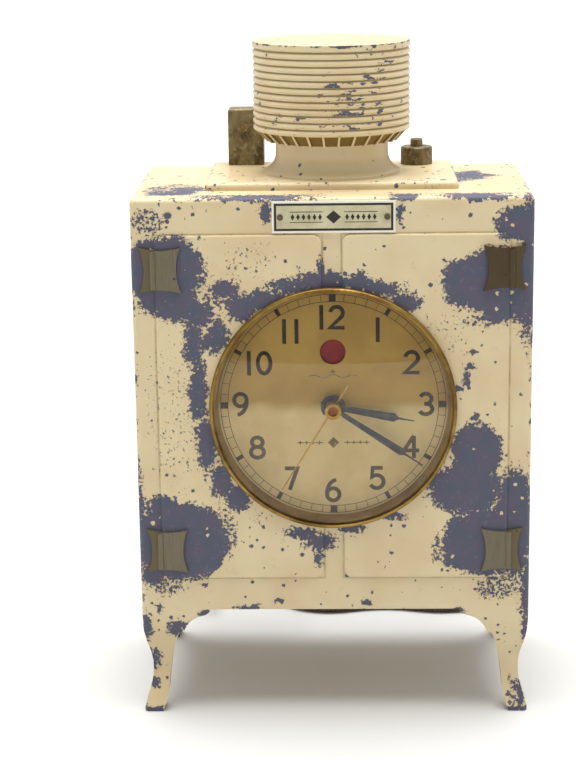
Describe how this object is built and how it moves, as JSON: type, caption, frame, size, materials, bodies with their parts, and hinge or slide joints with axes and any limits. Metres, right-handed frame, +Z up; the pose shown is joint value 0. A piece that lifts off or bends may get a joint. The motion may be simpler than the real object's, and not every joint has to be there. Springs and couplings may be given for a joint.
{
  "type": "electric mantel clock",
  "caption": "Novelty electric mantel clock shaped like a refrigerator on cabriole legs, with a ribbed condenser drum on top, sweep seconds hand and a power-off indicator.",
  "frame": {"origin": "bottom centre of the clock without its mains cord, on the surface it stands on", "axes": "+Z up, +X to the right as seen from the front, +Y to the back; the dial faces -Y"},
  "size_m": [0.133, 0.19, 0.2221],
  "materials": {
    "paint": "aged cream enamel over slate-blue undercoat, chipped",
    "fitting_metal": "dull olive-bronze lacquer, worn",
    "plate_metal": "satin cream plate with black border",
    "bezel_brass": "tarnished lacquered brass",
    "bright_brass": "satin brass",
    "dial_paint": "aged ivory dial with printed numerals",
    "hand_black": "blue-black lacquer",
    "gilt": "gilt",
    "indicator_red": "dark red paint",
    "crystal": "clear domed glass",
    "steel": "satin steel",
    "core_iron": "blued laminated steel",
    "coil_tape": "varnished cloth tape",
    "bobbin_fibre": "red-brown fibre",
    "cover_paint": "brown-black wrinkle paint",
    "knob_black": "moulded phenolic",
    "cord_cloth": "brown braided cotton",
    "relief_rubber": "aged rubber",
    "wire_cloth": "cotton-covered wire"
  },
  "bodies": {
    "clock_frame": {"back_cover": "cover_paint", "bezel": "bezel_brass", "cabinet": "paint", "clamp_screws": "steel", "coil_bobbin": "bobbin_fibre", "coil_leads": "wire_cloth", "condenser_drum": "paint", "control_box": "fitting_metal", "cord_coil": "cord_cloth", "cord_lead": "cord_cloth", "cord_tail": "cord_cloth", "core_screws": "steel", "core_spacers": "bright_brass", "cover_screws": "steel", "dial": "dial_paint", "dial_clamp": "bright_brass", "drum_screw": "steel", "drum_washer": "steel", "field_coil": "coil_tape", "front_plate": "bright_brass", "glass": "crystal", "glass_ring": "bezel_brass", "hinge_lower_left": "fitting_metal", "hinge_lower_right": "fitting_metal", "hinge_upper_left": "fitting_metal", "hinge_upper_right": "fitting_metal", "indicator_stud": "steel", "motion_stud": "steel", "movement_posts": "bright_brass", "nameplate": "plate_metal", "nameplate_pins": "bright_brass", "pillar_nuts": "steel", "plate_pillars": "bright_brass", "plug_blades": "bright_brass", "plug_body": "knob_black", "rear_plate": "bright_brass", "rotor_can": "steel", "stator_core": "core_iron", "strain_relief": "relief_rubber", "valve_cap": "fitting_metal", "valve_nut": "steel", "valve_screw": "fitting_metal"},
    "minute_drive": {"centre_arbor": "bright_brass", "minute_hand": "hand_black", "clutch_spring": "steel"},
    "hour_drive": {"hour_wheel": "bright_brass", "hour_hand": "hand_black"},
    "motion_wheel": {"minute_wheel": "bright_brass"},
    "setting_drive": {"set_arbor": "steel", "set_knob": "knob_black"},
    "seconds_drive": {"seconds_arbor": "bright_brass", "seconds_hand": "gilt"},
    "third_drive": {"third_arbor": "bright_brass"},
    "centre_wheel": {"slip_wheel": "bright_brass"},
    "rotor_drive": {"rotor_pinion": "steel"},
    "power_indicator": {"indicator_lever": "bright_brass", "indicator_disc": "indicator_red"}
  },
  "joints": [
    {"name": "minute_turn", "type": "hinge", "parent": "clock_frame", "child": "minute_drive", "pos_m": [0, -0.0342, 0.1057], "axis": [0, 1, 0], "continuous": true},
    {"name": "hour_turn", "type": "hinge", "parent": "clock_frame", "child": "hour_drive", "pos_m": [0, -0.0392, 0.1057], "axis": [0, 1, 0], "continuous": true},
    {"name": "motion_wheel_turn", "type": "hinge", "parent": "clock_frame", "child": "motion_wheel", "pos_m": [0.012, -0.0352, 0.1057], "axis": [0, 1, 0], "continuous": true},
    {"name": "setting_turn", "type": "hinge", "parent": "clock_frame", "child": "setting_drive", "pos_m": [0.024, 0.0158, 0.1057], "axis": [0, 1, 0], "continuous": true},
    {"name": "seconds_turn", "type": "hinge", "parent": "clock_frame", "child": "seconds_drive", "pos_m": [0, -0.0242, 0.1057], "axis": [0, 1, 0], "continuous": true},
    {"name": "third_turn", "type": "hinge", "parent": "clock_frame", "child": "third_drive", "pos_m": [-0.01472, -0.0242, 0.1142], "axis": [0, 1, 0], "continuous": true},
    {"name": "centre_wheel_turn", "type": "hinge", "parent": "clock_frame", "child": "centre_wheel", "pos_m": [0, -0.028, 0.1057], "axis": [0, 1, 0], "continuous": true},
    {"name": "rotor_turn", "type": "hinge", "parent": "clock_frame", "child": "rotor_drive", "pos_m": [0, -0.0182, 0.0919], "axis": [0, 1, 0], "continuous": true},
    {"name": "indicator_swing", "type": "hinge", "parent": "clock_frame", "child": "power_indicator", "pos_m": [0.014, -0.0378, 0.1297], "axis": [0, 1, 0], "range_deg": [0, 40]}
  ],
  "couplings": [
    {"joint": "hour_turn", "follows": "minute_turn", "ratio": 0.083333},
    {"joint": "motion_wheel_turn", "follows": "minute_turn", "ratio": -0.33333},
    {"joint": "setting_turn", "follows": "minute_turn", "ratio": 1},
    {"joint": "third_turn", "follows": "seconds_turn", "ratio": -0.13333},
    {"joint": "centre_wheel_turn", "follows": "seconds_turn", "ratio": 0.016667},
    {"joint": "rotor_turn", "follows": "seconds_turn", "ratio": -3.6}
  ]
}
